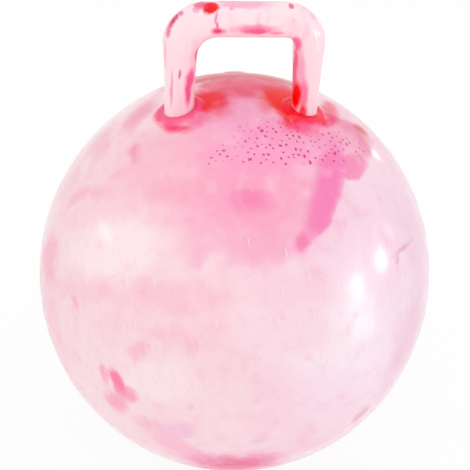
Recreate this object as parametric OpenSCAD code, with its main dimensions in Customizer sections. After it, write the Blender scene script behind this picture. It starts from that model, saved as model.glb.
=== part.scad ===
// Hopper ball: a blown-up PVC ball to sit on, with a bridge handle welded to its crown.
// It stands on the flat of its base at z = 0, with the handle's bar along X and the valve at the back, +Y.

/* [Ball] */
// Width of the blown-up ball at its waist
ball_d = 450; // [380:5:550]
// Height of the blown-up ball before its base is pressed flat
ball_h = 467; // [380:1:580]
// Thickness of the skin
skin_t = 1.2; // [0.8:0.1:2.5]
// Width of the flat that the ball rests on
rest_d = 76; // [50:2:110]

/* [Handle] */
// Distance between the centre lines of the two legs
leg_gap = 136; // [110:2:170]
// Height of the bar's centre line above the crown
bar_rise = 101; // [80:1:130]
// Thickness of the bar and the two bends
bar_d = 40; // [30:1:46]
// Thickness of each leg where it meets the crown
foot_d = 32; // [26:1:42]
// Radius of each bend at its centre line
bend_r = 29; // [24:1:40]
// Wall of the handle's tube
tube_t = 2; // [1.5:0.1:3]
// Width of the weld bead round each foot
bead_w = 10; // [6:0.5:14]
// Height of the weld bead above the skin
bead_h = 3; // [2:0.1:4]

/* [Valve] */
// Angle at the crown's centre from the top down the back to the valve
valve_angle = 36; // [30:1:38]
// Width of the seat's neck, which is welded into the skin
neck_d = 24; // [20:1:30]
// Width of the seat's flange inside the skin
flange_d = 34; // [32:1:42]
// Thickness of the flange at its edge
flange_t = 1.5; // [1:0.1:3]
// Width of the boss round the bore
boss_d = 16; // [13:0.5:18]
// Depth of the boss below the skin's outer face
boss_depth = 17; // [15:0.5:22]
// Height of the seat's rim above the skin
rim_h = 1; // [0.6:0.1:2]
// Width of the thumb notch in the rim
notch_d = 6; // [4:0.5:8]

/* [Plug] */
// Width of the plug's head
head_d = 15; // [12:0.5:17]
// Thickness of the plug's head
head_t = 2; // [1.4:0.1:2.6]
// Width of the stem under the head
stem_d = 8; // [6.5:0.1:10]
// Width of the stem at its tip
tip_d = 7; // [5.5:0.1:7.5]
// Length of the stem
stem_l = 13; // [9:0.5:16]
// Gap between the stem and the bore, on each side
stem_clear = 0.05; // [0.02:0.01:0.1]
// Gap round and under the plug's head
head_clear = 0.3; // [0.2:0.05:0.5]

/* [Hidden] */
$fn = 128;
// How far a cutting shape runs past what it cuts
overrun = 1;

// The ball's outline is an oval of four arcs that meet at 45 degrees: two caps on the axis and a side arc.
oval_shift = (ball_h - ball_d) / 4 / (1 - cos(45));
cap_r = ball_h / 2 - oval_shift;
side_r = ball_d / 2 + oval_shift;
// How far a cap runs into the side arc, so that no gap is left at the joint between them
joint_lap = 0.01;
// Length that is past every part of the ball
reach = ball_d + ball_h;

// Heights above the floor
waist_z = oval_shift + sqrt(pow(cap_r, 2) - pow(rest_d / 2, 2));
cap_z = waist_z + oval_shift;
crown_z = cap_z + cap_r;
bar_z = crown_z + bar_rise;

// Where a leg's centre line meets the skin, and how far the skin leans there
foot_x = leg_gap / 2;
foot_z = cap_z + sqrt(pow(cap_r, 2) - pow(foot_x, 2));
foot_lean = asin(foot_x / cap_r);
// The bead's round section, sunk in the skin and tucked into the leg's wall
bead_r = (pow(bead_w / 2, 2) + pow(bead_h, 2)) / (2 * bead_h);
bead_tuck_share = 0.7;
bead_ring_r = foot_d / 2 / cos(foot_lean) + bead_w / 2 - bead_tuck_share * tube_t;

// Depths in the valve, from the skin's outer face along the valve's axis
function skin_depth(radius) = cap_r - sqrt(pow(cap_r - skin_t, 2) - pow(radius, 2));
recess_depth = head_t + head_clear - rim_h;
stem_top = head_t - rim_h;
edge_r = head_t / 2;

// Half of the oval in the XZ plane, with its waist on the origin, drawn in from the outside by inset
module ball_outline(inset = 0) {
    joint_z = (side_r - inset) * sin(45);
    for (end = [0, 1])
        mirror([0, end])
            intersection() {
                translate([0, oval_shift])
                    circle(r = cap_r - inset);
                translate([0, joint_z - joint_lap])
                    square([reach, reach]);
            }
    intersection() {
        translate([-oval_shift, 0])
            circle(r = side_r - inset);
        translate([0, -joint_z])
            square([reach, joint_z * 2]);
    }
}

// The outline above the floor, with the base pressed flat at the skin's own thickness
module pressed_outline(inset = 0) {
    intersection() {
        translate([0, waist_z])
            ball_outline(inset);
        translate([0, inset])
            square([reach, reach]);
    }
}

// Places its children on the skin at the valve, with Z out along the valve's axis
module at_valve() {
    translate([0, 0, cap_z])
        rotate([-valve_angle, 0, 0])
            translate([0, 0, cap_r])
                children();
}

// Places its children where a leg meets the skin, with Z square to the skin
module at_feet() {
    for (side = [-1, 1])
        translate([side * foot_x, 0, foot_z])
            rotate([0, side * foot_lean, 0])
                children();
}

// The handle's round tube, drawn in from the outside by inset, from inside the ball to the bar
module handle_tube(inset = 0) {
    leg_top = bar_z - bend_r;
    leg_h = leg_top - foot_z;
    taper = (bar_d - foot_d) / 2 / leg_h;
    root = foot_d;
    translate([0, 0, bar_z])
        rotate([0, 90, 0])
            cylinder(r = bar_d / 2 - inset, h = leg_gap - bend_r * 2, center = true);
    for (side = [0, 180])
        rotate([0, 0, side])
            translate([foot_x - bend_r, 0, leg_top])
                rotate([90, 0, 0])
                    rotate_extrude(angle = 90)
                        translate([bend_r, 0])
                            circle(r = bar_d / 2 - inset);
    for (side = [-1, 1])
        translate([side * foot_x, 0, foot_z - root])
            cylinder(r1 = foot_d / 2 - taper * root - inset, r2 = bar_d / 2 - inset, h = leg_h + root);
}

module ball_skin() {
    color("#f9c3d2")
        difference() {
            rotate_extrude()
                difference() {
                    pressed_outline();
                    pressed_outline(skin_t);
                }
            for (side = [-1, 1])
                translate([side * foot_x, 0, cap_z])
                    cylinder(r = foot_d / 2 - tube_t, h = reach);
            at_valve()
                translate([0, 0, -boss_depth])
                    cylinder(d = neck_d, h = boss_depth + rim_h + overrun);
        }
}

module handle() {
    color("#fbd5df")
        difference() {
            union() {
                handle_tube();
                at_feet()
                    rotate_extrude()
                        translate([bead_ring_r, bead_h - bead_r])
                            circle(r = bead_r);
            }
            handle_tube(tube_t);
            // The ball that the feet stand on, with its poles laid level, clear of the legs
            translate([0, 0, cap_z])
                rotate([90, 0, 0])
                    sphere(r = cap_r);
        }
}

module valve_seat() {
    neck_r = neck_d / 2;
    flange_r = flange_d / 2;
    flange_base = skin_depth(flange_r) + flange_t;
    bore_slope = (stem_d - tip_d) / 2 / stem_l;
    bore_top_r = stem_d / 2 + stem_clear - bore_slope * (recess_depth - stem_top);
    bore_end_r = bore_top_r - bore_slope * (boss_depth - recess_depth);
    recess_r = head_d / 2 + head_clear;
    color("#f3a9bf")
        at_valve()
            difference() {
                rotate_extrude()
                    polygon([[bore_end_r, -boss_depth], [boss_d / 2, -boss_depth],
                             [boss_d / 2, -flange_base], [flange_r, -flange_base],
                             [flange_r, -skin_depth(flange_r)], [neck_r, -skin_depth(neck_r)],
                             [neck_r, rim_h / 2], [neck_r - rim_h / 2, rim_h],
                             [recess_r, rim_h], [recess_r, -recess_depth], [bore_top_r, -recess_depth]]);
                translate([0, -recess_r, -recess_depth / 2])
                    cylinder(d = notch_d, h = recess_depth + rim_h + overrun);
            }
}

module valve_plug() {
    color("#fdf3f4")
        at_valve()
            rotate_extrude() {
                translate([0, -stem_top])
                    square([head_d / 2 - edge_r, head_t]);
                translate([head_d / 2 - edge_r, edge_r - stem_top])
                    circle(r = edge_r);
                polygon([[0, -stem_top], [0, -stem_top - stem_l], [tip_d / 2, -stem_top - stem_l],
                         [stem_d / 2, -stem_top]]);
            }
}

ball_skin();
handle();
valve_seat();
valve_plug();
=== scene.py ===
"""Hopper ball: the looks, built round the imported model. Metres, +Z up, the bar along X, the valve towards +Y."""
import math
import random

import bmesh
import bpy
from mathutils import Matrix, Quaternion, Vector


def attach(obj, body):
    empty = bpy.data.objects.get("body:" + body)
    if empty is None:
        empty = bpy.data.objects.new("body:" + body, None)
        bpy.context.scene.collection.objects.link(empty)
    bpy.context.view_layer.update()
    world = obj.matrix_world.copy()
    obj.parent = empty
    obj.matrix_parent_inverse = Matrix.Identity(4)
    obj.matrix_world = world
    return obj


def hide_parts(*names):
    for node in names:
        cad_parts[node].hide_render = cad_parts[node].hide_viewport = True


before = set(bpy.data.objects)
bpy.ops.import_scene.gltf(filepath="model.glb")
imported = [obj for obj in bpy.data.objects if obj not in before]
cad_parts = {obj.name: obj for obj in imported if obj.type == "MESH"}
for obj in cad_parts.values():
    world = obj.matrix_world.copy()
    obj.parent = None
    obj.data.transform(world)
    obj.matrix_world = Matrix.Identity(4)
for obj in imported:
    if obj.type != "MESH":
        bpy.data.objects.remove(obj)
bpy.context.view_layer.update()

# Ball skin: the blown-up body, a little taller than wide and pressed flat where it stands. Soft PVC, cast in a
# turning mould from two batches of pink that were left half mixed, so it is glossy and its colour runs in
# clouds. A hole in its back takes the valve's seat.
ball_width = 0.450
ball_height = 0.467
rest_width = 0.076
skin_thick = 0.0012
valve_hole = 0.024
valve_angle = math.radians(36)
joint_angle = math.radians(45)
cap_steps = 36
side_steps = 64
base_steps = 24
round_steps = 240
oval_shift = (ball_height - ball_width) / 4 / (1 - math.cos(joint_angle))
cap_r = ball_height / 2 - oval_shift
side_r = ball_width / 2 + oval_shift
waist_z = oval_shift + math.sqrt(cap_r ** 2 - (rest_width / 2) ** 2)
waist = Vector((0, 0, waist_z))
cap_centre = Vector((0, 0, waist_z + oval_shift))
crown_z = cap_centre.z + cap_r
valve_axis = Vector((0, math.sin(valve_angle), math.cos(valve_angle)))
valve_place = cap_centre + valve_axis * cap_r


def sweep_point(bm, point, centre, angle, steps):
    """Carries an arc of edges on from a vertex, round centre in the XZ plane, and gives its last vertex."""
    made = bmesh.ops.spin(bm, geom=[point], cent=centre, axis=(0, 1, 0), angle=angle, steps=steps)
    return next(item for item in made["geom_last"] if isinstance(item, bmesh.types.BMVert))


def turn_round(bm, steps):
    """Turns the edges in bm once round the Z axis, and closes the seam and the poles."""
    bmesh.ops.spin(bm, geom=bm.verts[:] + bm.edges[:], cent=(0, 0, 0), axis=(0, 0, 1), angle=math.tau,
                   steps=steps, use_merge=True)
    bmesh.ops.remove_doubles(bm, verts=bm.verts, dist=1e-6)
    bmesh.ops.recalc_face_normals(bm, faces=bm.faces)


def make_object(name, bm, material, sharp_angle=40):
    """Turns bm into an object with smooth faces that keeps the edges sharper than sharp_angle degrees."""
    mesh = bpy.data.meshes.new(name)
    bm.to_mesh(mesh)
    bm.free()
    mesh.shade_smooth()
    mesh.set_sharp_from_angle(angle=math.radians(sharp_angle))
    mesh.materials.append(material)
    made = bpy.data.objects.new(name, mesh)
    bpy.context.scene.collection.objects.link(made)
    return made


def cut_away(piece, cutter_mesh):
    """Cuts a closed bmesh out of a piece and leaves the result as the piece's own mesh."""
    mesh = bpy.data.meshes.new("cutter")
    cutter_mesh.to_mesh(mesh)
    cutter_mesh.free()
    cutter = bpy.data.objects.new("cutter", mesh)
    bpy.context.scene.collection.objects.link(cutter)
    cut = piece.modifiers.new("hole", "BOOLEAN")
    cut.operation = "DIFFERENCE"
    cut.solver = "FAST"
    cut.object = cutter
    settled = bpy.data.meshes.new_from_object(piece.evaluated_get(bpy.context.evaluated_depsgraph_get()))
    piece.modifiers.clear()
    piece.data = settled
    bpy.data.objects.remove(cutter)


def linear(code):
    """The linear colour of an sRGB hex code."""
    parts = [int(code[place:place + 2], 16) / 255 for place in (0, 2, 4)]
    return (*[part / 12.92 if part <= 0.04045 else ((part + 0.055) / 1.055) ** 2.4 for part in parts], 1)


def add(tree, kind, inputs=(), **settings):
    """Adds a node, gives it its settings, and sets or links its inputs."""
    made = tree.nodes.new(kind)
    for name, value in settings.items():
        setattr(made, name, value)
    for name, value in dict(inputs).items():
        if isinstance(value, bpy.types.NodeSocket):
            tree.links.new(value, made.inputs[name])
        else:
            made.inputs[name].default_value = value
    return made


# A Mix node's sockets for its two colours and for what they give.
COLOUR_A, COLOUR_B, COLOUR_OUT = 6, 7, 2


def stain(tree, base, mask, colour):
    """Lays a colour over base wherever the mask is up."""
    inputs = {0: mask, COLOUR_A: base, COLOUR_B: linear(colour)}
    return add(tree, "ShaderNodeMix", inputs, data_type="RGBA").outputs[COLOUR_OUT]


def fade(tree, value, start, end, strength=1.0):
    """A mask that rises smoothly from nothing at start to strength, a number or another mask, at end."""
    inputs = {"Value": value, "From Min": start, "From Max": end, "To Min": 0, "To Max": strength}
    return add(tree, "ShaderNodeMapRange", inputs, interpolation_type="SMOOTHSTEP").outputs["Result"]


def warped(tree, place, cell, reach, seed):
    """Shifts a place about by up to reach metres, by a noise whose cells are about cell metres across."""
    away = (seed, seed / 2, -seed)
    moved = add(tree, "ShaderNodeVectorMath", {0: place, 1: away}, operation="ADD").outputs[0]
    inputs = {"Vector": moved, "Scale": 1 / cell, "Detail": 3, "Roughness": 0.55}
    noise = add(tree, "ShaderNodeTexNoise", inputs).outputs["Color"]
    offset = add(tree, "ShaderNodeVectorMath", {0: noise, 1: (0.5, 0.5, 0.5)}, operation="SUBTRACT").outputs[0]
    scaled = add(tree, "ShaderNodeVectorMath", {0: offset, "Scale": reach * 2}, operation="SCALE").outputs[0]
    return add(tree, "ShaderNodeVectorMath", {0: place, 1: scaled}, operation="ADD").outputs[0]


# A blot of pigment is an oval. Its depth falls from 1 at its middle to nothing at blot_reach times its radii. It
# starts where the depth is blot_edge, and blot_tear is how strongly a noise shifts that start.
blot_reach = 1.5
blot_edge = 0.2
blot_tear = 1.6


def depth_in_oval(tree, place, centre, axes, radii):
    """How deep a place lies in an oval. The axes are three unit vectors, one for each radius."""
    turn = Matrix(axes).transposed().to_euler()
    reach = [radius * blot_reach for radius in radii]
    inputs = {"Vector": place, "Location": centre, "Rotation": turn, "Scale": reach}
    fitted = add(tree, "ShaderNodeMapping", inputs, vector_type="TEXTURE").outputs[0]
    return add(tree, "ShaderNodeTexGradient", {"Vector": fitted}, gradient_type="SPHERICAL").outputs["Fac"]


def blot(tree, depth, wisp, rag, soft, strength):
    """The mask of a blot of that depth. Wisp is a noise about nothing that tears its edge, rag is how much, and
    soft is the share of the radius over which the edge fades."""
    inputs = {0: wisp, 1: rag * -blot_tear, 2: depth}
    ragged = add(tree, "ShaderNodeMath", inputs, operation="MULTIPLY_ADD").outputs[0]
    return fade(tree, ragged, blot_edge, blot_edge + soft / blot_reach, strength)


# The least half depth of a cloud in mm, so that a narrow one still takes in the skin's curve.
cloud_deep = 20


def depth_in_cloud(tree, place, spot, length, width, turn=0):
    """How deep a place lies in an oval on the skin. The spot is in degrees round from the front and up from the
    waist, the half length and half width are in mm, and turn leans the length from downhill towards +X."""
    around, up = (math.radians(angle) for angle in spot)
    outward = Vector((math.sin(around) * math.cos(up), -math.cos(around) * math.cos(up), math.sin(up)))
    east = Vector((math.cos(around), math.sin(around), 0))
    downhill = outward.cross(east)
    if downhill.z > 0:
        downhill.negate()
    lean = math.radians(turn)
    along = downhill * math.cos(lean) + east * math.sin(lean)
    axes = (along, outward.cross(along), outward)
    radii = (length / 1000, width / 1000, max(length, width, cloud_deep) / 1000)
    return depth_in_oval(tree, place, waist + outward * ball_width / 2, axes, radii)


# Clouds of pigment on the front and the crown, each laid over those before it: the spot, half length, half width,
# turn, colour, strength, the share of the radius over which the edge fades, and how ragged it is. Those along the
# ball's outline seen from the front are partly pigment and partly painted shade, which keeps the rim deep pink.
CLOUDS = (
    ((-51, 62), 94, 65, -33, "f9b8c7", 0.85, 0.9, 0.5),  # upper left slope
    ((-104, 61), 40, 24, 74, "f29cb6", 0.85, 0.9, 0.5),  # upper left rim, partly painted shade of the outline
    ((-97, 47), 30, 25, -83, "f5b4c4", 0.75, 0.9, 0.5),  # upper left rim low, partly painted shade of the outline
    ((-88, 36), 27, 21, 73, "f5b8c7", 0.7, 0.9, 0.5),  # left shoulder rim, partly painted shade of the outline
    ((-71, 39), 92, 51, -74, "facdd7", 0.7, 0.9, 0.6),  # left haze
    ((41, 44), 102, 64, 82, "f8d2e1", 0.8, 0.9, 0.3),  # right side
    ((25, 16), 131, 68, 52, "fbe5ee", 0.85, 0.9, 0.3),  # low right
    ((22, -4), 69, 47, 62, "fad6e5", 0.7, 0.9, 0.4),  # low right pink
    ((14, 32), 69, 33, 80, "f9c8d6", 0.75, 0.9, 0.4),  # centre low
    ((12, 20), 62, 35, 77, "fad0dc", 0.7, 0.9, 0.4),  # centre lower
    ((-70, -7), 97, 54, 21, "f9bece", 0.75, 0.9, 0.6),  # left limb, partly painted shade of the outline
    ((56, -2), 83, 42, -31, "f1bed4", 0.75, 0.9, 0.4),  # right limb low, partly painted shade of the outline
    ((-49, 35), 78, 32, -60, "fce2e5", 0.85, 0.7, 0.4),  # left pale
    ((-52, 20), 88, 17, -65, "fac7d4", 0.8, 0.9, 0.5),  # left pink
    ((-21, 29), 78, 21, -81, "f9c1ce", 0.8, 0.9, 0.5),  # middle pink
    ((-1, 58), 103, 81, -85, "f9a2bd", 0.92, 0.8, 0.3),  # central cloud
    ((7, 43), 55, 23, -86, "f9adc7", 0.8, 0.95, 0.4),  # cloud foot
    ((-22, 46), 42, 26, 16, "fabed0", 0.6, 0.9, 0.6),  # cloud left
    ((-11, 46), 31, 25, -85, "f9afc7", 0.6, 0.95, 0.7),  # cloud middle
    ((20, 44), 13, 10, -42, "fa7cab", 0.9, 0.8, 0.4),  # band low
    ((29, 48), 16, 10, -74, "f98ab6", 0.8, 0.8, 0.4),  # band foot
    ((47, 48), 28, 12, -17, "f5cbda", 0.6, 0.9, 0.5),  # upper right edge
    ((39, 72), 99, 52, 74, "f99cc3", 0.92, 0.8, 0.2),  # pink under the pips
    ((50, 60), 23, 16, -84, "f673a5", 0.9, 0.9, 0.2),  # band top
    ((87, 57), 30, 28, -55, "e53c7c", 0.9, 0.9, 0.4),  # right rim pink
    ((106, 63), 39, 13, 58, "ef586e", 0.85, 0.9, 0.4),  # right leg rim
    ((-43, 86), 65, 57, -60, "faa0c7", 0.85, 0.9, 0.3),  # crown pink
    ((1, 57), 28, 22, 79, "f67cad", 0.8, 0.95, 0.3),  # deep spot
    ((-69, 57), 18, 12, 77, "f38aab", 0.65, 0.9, 0.8),  # upper left deep
    ((-68, 51), 18, 12, -41, "f9adc3", 0.7, 0.9, 0.8),  # upper left mark
    ((-75, 39), 44, 11, -42, "fab4c5", 0.75, 0.9, 0.8),  # left mottle
    ((-86, 49), 25, 20, -7, "fabccb", 0.6, 0.9, 0.8),  # left mottle, higher
    ((-25, 49), 14, 9, -78, "f7a7c5", 0.7, 0.9, 0.9),  # curl
    ((-17, 39), 12, 11, -86, "f8adca", 0.65, 0.9, 0.8),  # curl low
    ((-56, 14), 11, 7, 47, "f9b4c8", 0.8, 0.8, 0.4),  # left edge streak
    ((-78, 14), 38, 37, -18, "faadc1", 0.8, 0.9, 0.7),  # left limb, higher, partly painted shade of the outline
    ((-31, 10), 20, 12, -24, "f9a9c3", 0.6, 0.9, 0.6),  # loop left
    ((-24, 18), 28, 9, -68, "f9bdce", 0.65, 0.9, 0.6),  # loop top
    ((-16, 17), 16, 10, 26, "f8b6c9", 0.6, 0.9, 0.6),  # loop right
    ((-25, 2), 49, 36, -63, "fbe1e6", 0.7, 0.8, 0.4),  # low pale
    ((-42, -2), 18, 8, 7, "fea2c1", 0.85, 0.8, 0.5),  # prong left
    ((-37, -3), 22, 10, 19, "fa78a2", 0.95, 0.9, 0.4),  # prong
    ((-38, -11), 25, 16, -41, "fa9cba", 0.8, 0.95, 0.6),  # prong foot
    ((-33, -6), 16, 10, -18, "f99ab8", 0.85, 0.9, 0.5),  # prong tail
    ((-18, -15), 30, 18, -60, "f1b2d2", 0.6, 0.9, 0.8),  # low mottle
    ((-28, -15), 19, 17, -49, "f7b5cb", 0.6, 0.9, 0.8),  # low mottle, left
    ((-15, -3), 7, 5, -9, "f8b2cb", 0.5, 0.9, 0.5),  # low spot
    ((-3, -31), 72, 34, -86, "faa9cb", 0.9, 0.9, 0.3),  # bottom rim
    ((-2, -36), 63, 49, -80, "ed367a", 0.9, 0.9, 0.4),  # bottom edge
    ((-22, -24), 38, 27, 64, "fbafcb", 0.7, 0.9, 0.5),  # bottom rim left
    ((39, -19), 16, 14, -40, "e99ab6", 0.7, 0.9, 0.5),  # right low streak
    ((5, -15), 19, 8, -31, "f6bcd7", 0.55, 0.9, 0.6),  # low stroke
    ((61, 28), 27, 4, 82, "e59cbe", 0.85, 0.9, 0.5),  # right squiggle
    ((56, 27), 10, 5, -59, "e19fc5", 0.7, 0.8, 0.5),  # right squiggle low
    ((71, 27), 71, 50, -9, "f1c5da", 0.55, 0.9, 0.4),  # right limb, partly painted shade of the outline
    ((76, 60), 46, 25, 61, "f9afc9", 0.8, 0.9, 0.4),  # upper right
    ((63, 55), 27, 15, 74, "f68cb6", 0.95, 0.45, 0.3),  # blob
    ((96, 54), 15, 12, 71, "de2713", 0.9, 0.9, 0.3),  # red at the right rim
    ((-101, 82), 41, 27, -71, "f10039", 0.95, 0.9, 0.3),  # left red wide
    ((-94, 80), 27, 16, -80, "fa0000", 1, 0.8, 0.3),  # left red
    ((-68, 70), 22, 9, -55, "f83c75", 1, 0.8, 0.3),  # left ring low
    ((-89, 67), 17, 6, -87, "fa719a", 0.8, 0.8, 0.4),  # left ring side
    ((-62, 76), 16, 13, -7, "fc6ea0", 0.75, 0.9, 0.4),  # left ring right
    ((117, 78), 47, 23, 38, "f10000", 1, 0.8, 0.3),  # right red back
    ((69, 73), 31, 24, 4, "fa487f", 0.85, 0.8, 0.4),  # right red under
    ((81, 71), 17, 14, 51, "f35888", 0.85, 0.9, 0.3),  # right red tail
    ((87, 66), 21, 12, 52, "f70167", 0.9, 0.8, 0.4),  # right red end
    ((98, 76), 45, 20, 70, "f80000", 1, 0.6, 0.3),  # right red
)


def marbled(tree):
    """The skin's colour: pale PVC, cooler to the right, with drifts of pink about 150 mm across that are stronger
    at the back, the clouds, and fine mottling. Gives the colour, the warped place that it was laid by, and the
    noise that makes the clouds ragged."""
    place = add(tree, "ShaderNodeTexCoord").outputs["Object"]
    loose = warped(tree, place, cell=0.09, reach=0.030, seed=0.0)
    torn = warped(tree, place, cell=0.022, reach=0.005, seed=3.0)
    along = add(tree, "ShaderNodeSeparateXYZ", {"Vector": loose})
    colour = stain(tree, linear("fad6de"), fade(tree, along.outputs["X"], -0.08, 0.14), "f8d9e6")
    inputs = {"Vector": loose, "Scale": 6.5, "Detail": 6, "Roughness": 0.62}
    drifts = add(tree, "ShaderNodeTexNoise", inputs).outputs["Fac"]
    colour = stain(tree, colour, fade(tree, drifts, 0.45, 0.70, 0.5), "f8bccb")
    behind = fade(tree, along.outputs["Y"], start=-0.02, end=0.12, strength=0.9)
    colour = stain(tree, colour, fade(tree, drifts, 0.48, 0.64, behind), "f58cae")
    inputs = {"Vector": torn, "Scale": 1 / 0.030, "Detail": 4, "Roughness": 0.52}
    wisps = add(tree, "ShaderNodeTexNoise", inputs).outputs["Fac"]
    wisp = add(tree, "ShaderNodeMath", {0: wisps, 1: 0.5}, operation="SUBTRACT").outputs[0]
    for spot, length, width, turn, shade, strength, soft, rag in CLOUDS:
        depth = depth_in_cloud(tree, torn, spot, length, width, turn)
        colour = stain(tree, colour, blot(tree, depth, wisp, rag, soft, strength), shade)
    # The crisp band at the right of the big cloud: a soft cloud that one long edge cuts off.
    band = depth_in_cloud(tree, torn, spot=(41, 55), length=88, width=21, turn=-52)
    edge = depth_in_cloud(tree, torn, spot=(10, 83), length=161, width=104)
    band_mask = fade(tree, band, start=0.23, end=0.75)
    cut_mask = fade(tree, edge, start=0.32, end=0.34, strength=band_mask)
    colour = stain(tree, colour, cut_mask, "f681b4")
    # Fine mottling of about 20 mm over all of it: darker flecks and pale wisps.
    inputs = {"Vector": torn, "Scale": 1 / 0.020, "Detail": 4, "Roughness": 0.55}
    flecks = add(tree, "ShaderNodeTexNoise", inputs).outputs["Fac"]
    colour = stain(tree, colour, fade(tree, flecks, 0.50, 0.80, 0.30), "f59cba")
    colour = stain(tree, colour, fade(tree, flecks, 0.50, 0.24, 0.22), "fce4ea")
    return colour, torn, wisp


upright = (Vector((1, 0, 0)), Vector((0, 1, 0)), Vector((0, 0, 1)))


def depth_in_column(tree, place, centre, across, deep):
    """How deep a place lies in an upright oval column. Across and deep are its half width and half depth."""
    flat = add(tree, "ShaderNodeVectorMath", {0: place, 1: (1, 1, 0)}, operation="MULTIPLY").outputs[0]
    return depth_in_oval(tree, flat, (centre[0], centre[1], 0), upright, (across, deep, 1))


wave_length = 0.045
grain_size = 0.003
grain_share = 0.04
relief_height = 0.0008


def glossy_pvc(name):
    """Soft PVC, cast against a polished mould: PVC's IOR of 1.53 and a low roughness give it a wet shine, and a
    little light passes through the pigmented skin. Long faint waves, left by the blowing up, and the mould's
    fine grain break its reflections. The grain is drawn at 3 mm, coarser than the real one, so that it shows."""
    material = bpy.data.materials.new(name)
    material.use_nodes = True
    tree = material.node_tree
    shader = tree.nodes["Principled BSDF"]
    shader.inputs["IOR"].default_value = 1.53
    shader.inputs["Roughness"].default_value = 0.17
    shader.inputs["Specular IOR Level"].default_value = 0.16
    shader.inputs["Subsurface Weight"].default_value = 0.12
    shader.inputs["Subsurface Radius"].default_value = (0.010, 0.004, 0.005)
    shader.inputs["Subsurface Scale"].default_value = 1.0
    place = add(tree, "ShaderNodeTexCoord").outputs["Object"]
    waves = add(tree, "ShaderNodeTexNoise", {"Vector": place, "Scale": 1 / wave_length, "Detail": 3})
    grain = add(tree, "ShaderNodeTexNoise", {"Vector": place, "Scale": 1 / grain_size, "Detail": 2})
    inputs = {0: grain.outputs["Fac"], 1: grain_share, 2: waves.outputs["Fac"]}
    relief = add(tree, "ShaderNodeMath", inputs, operation="MULTIPLY_ADD").outputs[0]
    bump = add(tree, "ShaderNodeBump", {"Height": relief, "Strength": 0.5, "Distance": relief_height})
    tree.links.new(bump.outputs["Normal"], shader.inputs["Normal"])
    return material, tree, shader


skin_pvc, tree, shader = glossy_pvc("glossy_marbled_pvc")
colour, torn, wisp = marbled(tree)

# The reds that ran back over the crown, as upright columns: the middle in plan, half width, half depth, colour,
# strength, the share of the radius over which the edge fades, and how ragged it is.
CROWN_REDS = (
    ((0.010, 0.092), 0.101, 0.052, "d60c34", 1.00, 0.8, 0.5),  # all behind the handle
    ((0.011, 0.045), 0.063, 0.031, "ec3862", 0.85, 0.9, 0.3),  # behind the bar
    ((0.004, 0.024), 0.027, 0.023, "ee4470", 0.85, 0.9, 0.3),  # between the feet
    ((-0.036, 0.012), 0.020, 0.0156, "fa0626", 0.85, 0.8, 0.25),  # inside the left foot
    ((0.047, 0.015), 0.0285, 0.028, "fa0004", 1.00, 0.7, 0.25),  # inside the right foot
)
for centre, across, deep, shade, strength, soft, rag in CROWN_REDS:
    depth = depth_in_column(tree, torn, centre, across, deep)
    colour = stain(tree, colour, blot(tree, depth, wisp, rag, soft, strength), shade)

# A ring of deeper colour round each foot: its middle in plan, its radius and its colour.
foot_places = ((-0.068, 0.0), (0.068, 0.0))
FOOT_RINGS = ((foot_places[0], 0.0290, "f9447c"), (foot_places[1], 0.0260, "fa1238"))
for foot, reach, shade in FOOT_RINGS:
    depth = depth_in_column(tree, torn, foot, reach, reach)
    colour = stain(tree, colour, fade(tree, depth, start=0.30, end=0.47, strength=0.85), shade)
tree.links.new(colour, shader.inputs["Base Color"])

bm = bmesh.new()
crown = bm.verts.new((0, 0, crown_z))
shoulder = sweep_point(bm, crown, cap_centre, joint_angle, cap_steps)
hip = sweep_point(bm, shoulder, (-oval_shift, 0, waist_z), math.pi - 2 * joint_angle, side_steps)
base_angle = joint_angle - math.asin(rest_width / 2 / cap_r)
rest_edge = sweep_point(bm, hip, (0, 0, waist_z - oval_shift), base_angle, base_steps)
bm.edges.new((rest_edge, bm.verts.new((0, 0, 0))))
turn_round(bm, round_steps)
ball_skin = make_object("ball_skin_cast", bm, skin_pvc)
wall = ball_skin.modifiers.new("wall", "SOLIDIFY")
wall.thickness = skin_thick
wall.offset = -1
punch_length = 0.030
punch = bmesh.new()
aim = Matrix.Translation(valve_place) @ valve_axis.to_track_quat("Z", "Y").to_matrix().to_4x4()
bmesh.ops.create_cone(punch, cap_ends=True, segments=64, radius1=valve_hole / 2, radius2=valve_hole / 2,
                      depth=punch_length, matrix=aim)
cut_away(ball_skin, punch)
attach(ball_skin, "ball")
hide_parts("ball_skin")

# Grip pips: low irregular pimples on the seat in front of the handle, where the mould was left stippled. They
# are part of the cast skin, and towards the middle and the right they are coloured a deep pink. They fill
# the front of an oval about the crown, but not its left, which a slanting line cuts off, or next to the feet.
pip_pitch = 0.0087
pip_stray = 0.0026
pip_height = 0.0007
pip_radii = (0.0006, 0.0019, 0.0010)  # the least, the most and the commonest
pip_stretch = (0.8, 1.8)
pip_columns = 18  # each side of the middle
pip_zone = (0.142, 0.092)  # the oval's half width and half depth
pip_front = -0.020
pip_edge = (-0.005, -0.030, 0.65)  # a point of the slanting line, and its step in x for each step in y
pip_clear = 0.033
dice = random.Random(45)


def on_crown(x, y):
    """The point of the crown above a place in plan, and the way out of the skin there."""
    point = Vector((x, y, cap_centre.z + math.sqrt(cap_r ** 2 - x ** 2 - y ** 2)))
    return point, (point - cap_centre).normalized()


pip_pvc, tree, shader = glossy_pvc("stippled_marbled_pvc")
colour, torn, wisp = marbled(tree)
deeper = depth_in_cloud(tree, torn, spot=(28, 67), length=108, width=60, turn=80)
colour = stain(tree, colour, blot(tree, deeper, wisp, rag=1.1, soft=0.8, strength=0.88), "cc3874")
tree.links.new(colour, shader.inputs["Base Color"])

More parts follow.
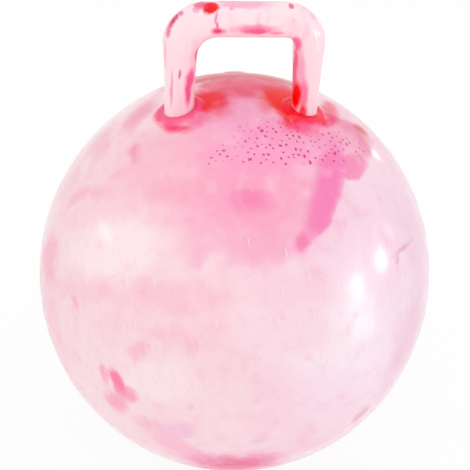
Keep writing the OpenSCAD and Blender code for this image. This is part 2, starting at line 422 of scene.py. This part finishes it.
bm = bmesh.new()
row_step = pip_pitch * math.sqrt(3) / 2
for row in range(int(pip_zone[1] / row_step) + 1):
    y = pip_front - row * row_step
    for column in range(-pip_columns, pip_columns + 1):
        x = (column + 0.5 * (row % 2)) * pip_pitch
        near_x = x + dice.uniform(-pip_stray, pip_stray)
        near_y = y + dice.uniform(-pip_stray, pip_stray)
        size = dice.triangular(*pip_radii)
        stretch = dice.uniform(*pip_stretch)
        spin = dice.uniform(0, math.pi)
        if (near_x / pip_zone[0]) ** 2 + (near_y / pip_zone[1]) ** 2 > 1:
            continue
        if near_x < pip_edge[0] + (y - pip_edge[1]) * pip_edge[2]:
            continue
        if any(math.hypot(near_x - foot[0], near_y - foot[1]) < pip_clear for foot in foot_places):
            continue
        point, outward = on_crown(near_x, near_y)
        lie = Matrix.Translation(point) @ outward.to_track_quat("Z", "Y").to_matrix().to_4x4()
        shape = Matrix.Rotation(spin, 4, "Z") @ Matrix.Diagonal((size * stretch, size, pip_height, 1))
        bmesh.ops.create_uvsphere(bm, u_segments=8, v_segments=6, radius=1, matrix=lie @ shape)
grip_pips = make_object("grip_pips", bm, pip_pvc, sharp_angle=180)
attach(grip_pips, "ball")

# Grip ribs: rows of short low beads that run like lines of longitude from the valve's side of the ball. They are
# part of the cast skin, and show below the pips as fine pale strokes, whose paler stretches are painted glints.
rib_pole = Vector((-0.179, 0.604, 0.777)).normalized()
rib_count = 150
rib_stray = 0.15  # of the angle from one row to the next
rib_sides = 6
rib_width = 0.0020
rib_height = 0.00022
rib_step = math.radians(0.9)
rib_steps = (2, 5)
rib_blunt = 0.4  # of a step, by which a bead's ends are kept from closing to a point
rib_tip = 0.3  # of the width, left at its ends
rib_gap = (2, 8)  # degrees
rib_start = (36, 80)  # degrees from the pole
rib_end = 118
rib_floor = 0.035
rib_top = 0.41
rib_thinning = 0.13  # how far below rib_top the rows reach their full number
rib_back = 0.05
rib_reach = 0.2244  # so that no rib stands out past the waist
joint_up = math.atan2(side_r * math.sin(joint_angle), side_r * math.cos(joint_angle) - oval_shift)


def on_skin(direction):
    """The point of the skin that lies in a direction from the waist's middle, and the way out of it there."""
    up = math.asin(direction.z)
    if abs(up) > joint_up:
        middle = Vector((0, 0, math.copysign(oval_shift, up)))
        reach = oval_shift * math.sin(abs(up)) + math.sqrt(cap_r ** 2 - (oval_shift * math.cos(up)) ** 2)
    else:
        middle = Vector((direction.x, direction.y, 0)).normalized() * -oval_shift
        reach = math.sqrt(side_r ** 2 - (oval_shift * math.sin(up)) ** 2) - oval_shift * math.cos(up)
    point = direction * reach
    return waist + point, (point - middle).normalized()


rib_pvc, tree, shader = glossy_pvc("ribbed_marbled_pvc")
colour, torn = marbled(tree)[:2]
# Paler stretches along the ribs, laid by a noise: painted glints of the light caught along the fine ridges.
painted_glints = add(tree, "ShaderNodeTexNoise", {"Vector": torn, "Scale": 1 / 0.020, "Detail": 3})
colour = stain(tree, colour, fade(tree, painted_glints.outputs["Fac"], 0.42, 0.62, 0.55), "fdeef2")
tree.links.new(colour, shader.inputs["Base Color"])


def drawn_out(bm, sections, segments):
    """Draws a unit ring through sections, each a matrix that sizes and places it, and closes both ends."""
    made = bmesh.ops.create_circle(bm, cap_ends=True, segments=segments, radius=1, matrix=sections[0])
    edges = list({edge for vert in made["verts"] for edge in vert.link_edges})
    for before, after in zip(sections, sections[1:]):
        moved = bmesh.ops.extrude_edge_only(bm, edges=edges)["geom"]
        ring = [item for item in moved if isinstance(item, bmesh.types.BMVert)]
        edges = [item for item in moved if isinstance(item, bmesh.types.BMEdge) and item.is_boundary]
        bmesh.ops.transform(bm, matrix=after @ before.inverted(), verts=ring)
    bmesh.ops.contextual_create(bm, geom=edges)


bm = bmesh.new()
side_way = rib_pole.orthogonal().normalized()
for rib in range(rib_count):
    round_pole = math.tau * (rib + dice.uniform(-rib_stray, rib_stray)) / rib_count
    heading = Matrix.Rotation(round_pole, 3, rib_pole) @ side_way
    across = rib_pole.cross(heading)
    lean = math.radians(dice.uniform(*rib_start))
    while lean < math.radians(rib_end):
        steps = dice.randint(*rib_steps)
        leans = [lean + rib_step * step for step in range(steps + 1)]
        run = [on_skin(rib_pole * math.cos(angle) + heading * math.sin(angle)) for angle in leans]
        lean += rib_step * steps + math.radians(dice.uniform(*rib_gap))
        first, last = run[0][0], run[-1][0]
        if dice.random() > (rib_top - first.z) / rib_thinning or min(first.z, last.z) < rib_floor:
            continue
        if max(first.y, last.y) > rib_back or max(abs(first.x), abs(last.x), -first.y, -last.y) > rib_reach:
            continue
        sections = []
        for step, (point, outward) in enumerate(run):
            swell = math.sin(math.pi * (step + rib_blunt) / (steps + 2 * rib_blunt))
            axes = Matrix((across, outward.cross(across), outward)).transposed().to_4x4()
            stand = axes @ Matrix.Rotation(math.radians(90), 4, "X")
            half_width = rib_width / 2 * (rib_tip + (1 - rib_tip) * swell)
            size = Matrix.Diagonal((half_width, rib_height * swell, 1, 1))
            sections.append(Matrix.Translation(point) @ stand @ size)
        drawn_out(bm, sections, rib_sides)
bmesh.ops.recalc_face_normals(bm, faces=bm.faces)
grip_ribs = make_object("grip_ribs", bm, rib_pvc, sharp_angle=80)
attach(grip_ribs, "ball")

# Handle: one bridge of hollow PVC tube that stands on the crown, cast with the skin. The bar and the two bends
# are thicker than the legs, and the right leg is the slimmer one.
leg_gap = 0.136
leg_root = 0.012  # how far a leg runs on down past the skin
bar_rise = 0.101
bar_r = 0.0190
bend_r = 0.029
left_leg = (0.0163, 0.0030, 4)  # the radius at the foot, what it gains on the way up, and how late
right_leg = (0.0140, 0.0034, 2)
left_fillet = 0.020
right_fillet = 0.0085
leg_steps = 28
bend_steps = 20
bar_steps = 12
tube_sides = 64
bar_z = crown_z + bar_rise
leg_top = bar_z - bend_r
foot_z = on_crown(leg_gap / 2, 0)[0].z
leg_length = leg_top - foot_z + leg_root


def filled(fillet, inside, lean, past):
    """How far a fillet fills the corner inside a bend that alone would leave it rounded to inside: at a lean in
    the bend, or at a distance past its end. A fillet smaller than that leaves the faces running on into it."""
    spread = fillet - inside
    if past > 0:
        return fillet - math.sqrt(fillet ** 2 - max(0, spread - past) ** 2)
    if spread < 0 and math.tan(min(lean, math.radians(90) - lean)) * inside < -spread:
        return inside - inside / max(math.cos(lean), math.sin(lean))
    both = spread * (math.cos(lean) + math.sin(lean))
    return inside + both - math.sqrt(both ** 2 - 2 * spread ** 2 + fillet ** 2)


def half_bridge(side, leg, fillet):
    """The handle's sections from one foot to the bar's middle: the middle, the lean of the tube, and the radius
    in the bridge's plane and across it."""
    at_foot, gain, late = leg
    made = []
    for step in range(leg_steps):
        share = step / leg_steps
        radius = at_foot + gain * share ** late
        swell = filled(fillet, bend_r - at_foot - gain, 0, leg_length * (1 - share))
        middle = Vector((side * (leg_gap / 2 - swell / 2), 0, foot_z - leg_root + leg_length * share))
        made.append((middle, 0, radius + swell / 2, radius))
    for step in range(bend_steps + 1):
        share = step / bend_steps
        lean = math.radians(90) * share
        radius = at_foot + gain + (bar_r - at_foot - gain) * share
        swell = filled(fillet, bend_r - radius, lean, 0)
        outward = Vector((side * math.cos(lean), 0, math.sin(lean)))
        middle = Vector((side * (leg_gap / 2 - bend_r), 0, leg_top)) + outward * (bend_r - swell / 2)
        made.append((middle, -side * lean, radius + swell / 2, radius))
    for step in range(1, bar_steps + 1):
        run = (leg_gap / 2 - bend_r) * step / bar_steps
        swell = filled(fillet, bend_r - bar_r, 0, run)
        middle = Vector((side * (leg_gap / 2 - bend_r - run), 0, bar_z - swell / 2))
        made.append((middle, -side * math.radians(90), bar_r + swell / 2, bar_r))
    return made


def section(middle, lean, flat, deep):
    """Places and sizes a unit ring that lies flat, so that it stands square across the tube."""
    return Matrix.Translation(middle) @ Matrix.Rotation(lean, 4, "Y") @ Matrix.Diagonal((flat, deep, 1, 1))


path = half_bridge(-1, left_leg, left_fillet)
for middle, lean, flat, deep in reversed(half_bridge(1, right_leg, right_fillet)[:-1]):
    path.append((middle, lean + math.pi, flat, deep))
bm = bmesh.new()
drawn_out(bm, [section(*stop) for stop in path], tube_sides)
bmesh.ops.recalc_face_normals(bm, faces=bm.faces)

# Stains on the handle, each laid over those before it: the middle in mm from the bar's middle, the radii in mm,
# the colour, the strength, and the share of the radius over which the edge fades. The stains under the bar are
# partly pigment and partly painted shade.
STAINS = (
    ((9, -19, -2), (27, 27, 7.2), "f77fa7", 0.9, 0.8),  # under bar, partly painted shade along the bar's underside
    ((10, -19, -4), (15, 15, 4.2), "f6588e", 0.85, 0.9),  # under bar core, partly painted shade
    ((32, -18, -7), (11, 11, 3.4), "f68eb2", 0.85, 0.9),  # under bar right, partly painted shade
    ((-29, -19, -4), (8.4, 8.4, 6.5), "f02b6c", 0.95, 0.9),  # under bar left, partly painted shade
    ((-38, -7, 18), (8.4, 8.4, 7.8), "eb0000", 1, 0.5),  # red patch
    ((-49, -2, 18), (9.4, 9.4, 3.3), "df4578", 0.8, 0.7),  # red patch left
    ((-2, 0, 19), (33, 33, 2.3), "ef9fba", 0.7, 0.8),  # top edge
    ((-32, -15, 11), (1.9, 6.3, 7.8), "eb83ad", 0.85, 0.8),  # line left of the bar's middle
    ((-30, -19, 3), (1.9, 5.2, 6.5), "eb6093", 0.85, 0.8),  # its lower end
    ((-16, -9, 17), (3.7, 5, 2.9), "e39fb5", 0.8, 0.8),  # small mark
    ((46, -3, 18), (2.9, 5, 2.6), "dc6785", 0.9, 0.6),  # small mark right
    ((70, -4, 6), (5.2, 5.2, 5.2), "edaaca", 0.6, 0.8),  # right bend
    ((-82, -9, -13), (3.1, 5, 5.2), "e37193", 0.8, 0.9),  # line up the left bend
    ((-81, -7, -8), (3.5, 5, 4.7), "e37197", 0.8, 0.9),  # line up the left bend
    ((-79, -5, -3), (3.8, 5, 4.4), "da4578", 0.85, 0.9),  # line up the left bend
    ((-76, -4, 1), (4, 5, 4.2), "cd0050", 0.9, 0.9),  # line up the left bend
    ((-73, -4, 5), (4, 5, 3.9), "d22762", 0.9, 0.9),  # line up the left bend
    ((-69, -4, 9), (4.4, 5, 3.9), "d87c9c", 0.9, 0.9),  # line up the left bend
    ((-53, -8, 15), (4.2, 5, 2.6), "ea8eb5", 0.7, 0.7),  # left top mark
    ((-51, -6, -38), (3.1, 11, 14), "eb4e7c", 0.85, 0.9),  # left inner bend
    ((-84, -10, -38), (2.1, 17, 21), "f9abc1", 0.7, 0.9),  # left leg edge
    ((-77, -14, -76), (1.9, 21, 26), "ed8eaf", 0.8, 0.8),  # left leg line
    ((-69, -17, -57), (1.9, 6.3, 7.8), "df598e", 0.85, 0.8),  # left leg mark
    ((-57, -13, -64), (5.7, 11, 14), "f8679c", 1, 0.8),  # left leg streak top
    ((-60, -15, -80), (4.2, 19, 23), "f65d95", 1, 0.8),  # left leg streak
    ((54, -14, -21), (5.7, 9.4, 12), "f76c9c", 0.9, 0.7),  # right inner corner
    ((59, -13, -61), (5.7, 29, 37), "faa5be", 0.8, 0.6),  # right leg half
    ((54, -7, -53), (2.6, 29, 37), "ef628a", 0.9, 0.9),  # right leg edge
    ((64, -14, -87), (6.3, 17, 21), "f7789e", 0.9, 0.7),  # right leg low
    ((57, -9, -90), (5.2, 17, 21), "fa0000", 1, 0.7),  # right leg red
    ((65, -14, -106), (5.2, 8.4, 10), "fa0013", 0.9, 0.7),  # right leg red low
)

# Pale PVC with streaks about 17 mm wide, drawn out upwards as the pigment ran, deeper drifts of 45 mm at the
# back, and the stains, whose edges are torn by wisps of 9 mm.
handle_pvc, tree, shader = glossy_pvc("glossy_tube_pvc")
upward_draw = 0.22
stain_rag = 0.3
place = add(tree, "ShaderNodeTexCoord").outputs["Object"]
torn = warped(tree, place, cell=0.018, reach=0.003, seed=7.0)
drawn = add(tree, "ShaderNodeVectorMath", {0: torn, 1: (1, 1, upward_draw)}, operation="MULTIPLY").outputs[0]
streaks = add(tree, "ShaderNodeTexNoise", {"Vector": drawn, "Scale": 60, "Detail": 4, "Distortion": 0.6})
colour = stain(tree, linear("fcdbe2"), fade(tree, streaks.outputs["Fac"], 0.50, 0.72, 0.6), "f7b3c8")
drifts = add(tree, "ShaderNodeTexNoise", {"Vector": torn, "Scale": 22, "Detail": 3})
along = add(tree, "ShaderNodeSeparateXYZ", {"Vector": place})
behind = fade(tree, along.outputs["Y"], start=-0.002, end=0.012, strength=0.85)
colour = stain(tree, colour, fade(tree, drifts.outputs["Fac"], 0.52, 0.62, behind), "f36a94")
wisps = add(tree, "ShaderNodeTexNoise", {"Vector": drawn, "Scale": 110, "Detail": 4})
wisp = add(tree, "ShaderNodeMath", {0: wisps.outputs["Fac"], 1: 0.5}, operation="SUBTRACT").outputs[0]
for from_bar, radii, shade, strength, soft in STAINS:
    centre = Vector(from_bar) / 1000 + Vector((0, 0, bar_z))
    depth = depth_in_oval(tree, torn, centre, upright, Vector(radii) / 1000)
    colour = stain(tree, colour, blot(tree, depth, wisp, stain_rag, soft, strength), shade)
tree.links.new(colour, shader.inputs["Base Color"])
handle = make_object("handle_bridge", bm, handle_pvc)
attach(handle, "ball")
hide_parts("handle")

# Foot collars: where each foot is sealed to the crown, its PVC was pressed out in a low round collar, with a
# groove between it and the leg.
collar_steps = 72
collar_profile = (  # out from the leg's face and up from the skin
    (-0.0030, -0.0006), (-0.0030, 0.0030), (-0.0002, 0.0026), (0.0010, 0.0014), (0.0022, 0.0013),
    (0.0036, 0.0024), (0.0054, 0.0030), (0.0074, 0.0026), (0.0094, 0.0014), (0.0112, 0.0004), (0.0122, -0.0006))
for foot, leg, name in ((foot_places[0], left_leg, "left_collar"),
                        (foot_places[1], right_leg, "right_collar")):
    bm = bmesh.new()
    rim = [bm.verts.new((leg[0] + out, 0, up)) for out, up in collar_profile]
    for before, after in zip(rim, rim[1:] + rim[:1]):
        bm.edges.new((before, after))
    turn_round(bm, collar_steps)
    for vert in bm.verts:
        under, outward = on_crown(vert.co.x + foot[0], vert.co.y + foot[1])
        vert.co = under + outward * vert.co.z
    collar = make_object(name, bm, skin_pvc)
    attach(collar, "ball")

# Valve seat and plug: a soft boss welded in the skin, and the stopper that is pressed in its bore. Plain PVC
# without the marbling, the plug paler, both dulled by handling.
for node, name, shade, rough in (("valve_seat", "moulded_seat_pvc", "f3a9bf", 0.42),
                                 ("valve_plug", "moulded_plug_pvc", "fdf3f4", 0.38)):
    plain_pvc, tree, shader = glossy_pvc(name)
    place = add(tree, "ShaderNodeTexCoord").outputs["Object"]
    mottle = add(tree, "ShaderNodeTexNoise", {"Vector": place, "Scale": 1 / 0.006, "Detail": 3})
    colour = stain(tree, linear(shade), fade(tree, mottle.outputs["Fac"], 0.45, 0.75, 0.25), "f7c0cf")
    tree.links.new(colour, shader.inputs["Base Color"])
    shader.inputs["Roughness"].default_value = rough
    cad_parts[node].data.materials.clear()
    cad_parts[node].data.materials.append(plain_pvc)

# Floor: a plain white studio sweep. To the camera it is white, with a trace of the ball's shadow kept.
floor_paint = bpy.data.materials.new("white_floor_paint")
floor_paint.use_nodes = True
tree = floor_paint.node_tree
paint = tree.nodes["Principled BSDF"]
paint.inputs["Base Color"].default_value = linear("fafafa")
paint.inputs["Roughness"].default_value = 0.8
white = add(tree, "ShaderNodeEmission", {"Color": (1, 1, 1, 1), "Strength": 1})
white_share = 0.90
floor_reach = 12


def by_ray(tree, seen, unseen):
    """One value for what is looked at, straight, in a gloss or through something clear, and another for the
    light that falls on the object."""
    rays = add(tree, "ShaderNodeLightPath").outputs
    looked = rays["Is Camera Ray"]
    for other in ("Is Glossy Ray", "Is Transmission Ray"):
        looked = add(tree, "ShaderNodeMath", {0: looked, 1: rays[other]}, operation="MAXIMUM").outputs[0]
    inputs = {"Value": looked, "To Min": unseen, "To Max": seen}
    return add(tree, "ShaderNodeMapRange", inputs).outputs["Result"]


share = by_ray(tree, seen=white_share, unseen=0)
mixed = add(tree, "ShaderNodeMixShader", {0: share, 1: paint.outputs[0], 2: white.outputs[0]})
tree.links.new(mixed.outputs[0], tree.nodes["Material Output"].inputs["Surface"])
bm = bmesh.new()
bmesh.ops.create_grid(bm, x_segments=1, y_segments=1, size=floor_reach)
floor = make_object("floor", bm, floor_paint)

# Light: an even white room, two broad soft lamps above and in front, a bounce on each side, and small windows
# that show only in the gloss, where they draw the bright highlights on the ball.
room_light = 0.86
world = bpy.data.worlds.new("white_room")
bpy.context.scene.world = world
world.use_nodes = True
tree = world.node_tree
room = tree.nodes["Background"]
room.inputs["Color"].default_value = (1, 1, 1, 1)
tree.links.new(by_ray(tree, seen=1, unseen=room_light), room.inputs["Strength"])


def softbox(name, around, up, distance, width, height, radiance, roll=0, mirrored=False):
    """An oblong lamp that faces the ball's waist from an angle round from the front and up from the waist,
    turned by roll about its own axis, all in degrees. A mirrored one shows in the gloss alone."""
    lamp = bpy.data.lights.new(name, "AREA")
    lamp.shape = "RECTANGLE"
    lamp.size, lamp.size_y = width, height
    lamp.energy = radiance * math.pi * width * height
    placed = bpy.data.objects.new(name, lamp)
    placed.visible_camera = False
    placed.visible_diffuse = not mirrored
    bpy.context.scene.collection.objects.link(placed)
    turn, lift = math.radians(around), math.radians(up)
    outward = Vector((math.sin(turn) * math.cos(lift), -math.cos(turn) * math.cos(lift), math.sin(lift)))
    placed.location = waist + outward * distance
    placed.rotation_mode = "QUATERNION"
    placed.rotation_quaternion = outward.to_track_quat("Z", "Y") @ Quaternion((0, 0, 1), math.radians(roll))


# Each lamp's name, the angles round and up, its distance, width and height, its radiance, and its roll.
softbox("overhead_softbox", 0, 85, 1.8, 1.6, 1.6, 0.72)
softbox("front_softbox", -14, 12, 2.6, 1.8, 1.4, 0.86)
softbox("right_bounce", 75, 10, 2.0, 0.8, 0.8, 1.3)
softbox("left_bounce", -72, 14, 2.0, 0.8, 0.8, 0.7)
softbox("right_window", 88.1, 5.1, 2.0, 0.32, 0.26, 24.0, mirrored=True)
softbox("right_blind", 92.8, 12.9, 2.0, 0.03, 0.20, 18.0, mirrored=True)
softbox("right_side_blind", 102.6, 5.2, 2.0, 0.03, 0.24, 22.0, mirrored=True)
softbox("right_front_window", 67, 6.2, 2.0, 0.28, 0.34, 22.0, mirrored=True)
softbox("right_front_glow", 67, 6.2, 2.1, 0.90, 0.80, 3.0, mirrored=True)
softbox("right_low_window", 64, -6, 0.95, 0.26, 0.30, 6.0, mirrored=True)
softbox("right_back_window", 137, 4, 2.0, 0.05, 0.10, 32.0, mirrored=True)
softbox("left_window", -92.3, 16.4, 2.0, 0.03, 0.50, 34.0, -82, mirrored=True)
softbox("left_low_window", -90.5, -3.5, 2.0, 0.08, 0.40, 6.0, mirrored=True)

# Camera: a long lens from the front and above, turned a little so that the object leans to the right.
camera_distance = 2.0
camera_around = math.radians(-4.7)
camera_up = math.radians(37.5)
picture_px = 470
focal_px = 1720
camera_roll = math.radians(2.58)
ball_at_px = (234.5, 272.3)
lens = bpy.data.cameras.new("camera")
lens.sensor_width = 36
lens.lens = focal_px / picture_px * lens.sensor_width
camera = bpy.data.objects.new("camera", lens)
bpy.context.scene.collection.objects.link(camera)
to_eye = Vector((math.sin(camera_around) * math.cos(camera_up),
                 -math.cos(camera_around) * math.cos(camera_up), math.sin(camera_up)))
level = Vector((0, 0, 1)).cross(to_eye).normalized()
upward = to_eye.cross(level)
right = level * math.cos(camera_roll) + upward * math.sin(camera_roll)
top = upward * math.cos(camera_roll) - level * math.sin(camera_roll)
turned = Matrix((right, top, to_eye)).transposed().to_4x4()
aim_up = math.atan((ball_at_px[1] - picture_px / 2) / focal_px)
aim_side = math.atan((ball_at_px[0] - picture_px / 2) / focal_px)
camera.matrix_world = (Matrix.Translation(waist + to_eye * camera_distance) @ turned
                       @ Matrix.Rotation(aim_up, 4, "X") @ Matrix.Rotation(aim_side, 4, "Y"))
bpy.context.scene.camera = camera
bpy.context.scene.view_settings.view_transform = "Standard"

bpy.context.view_layer.update()
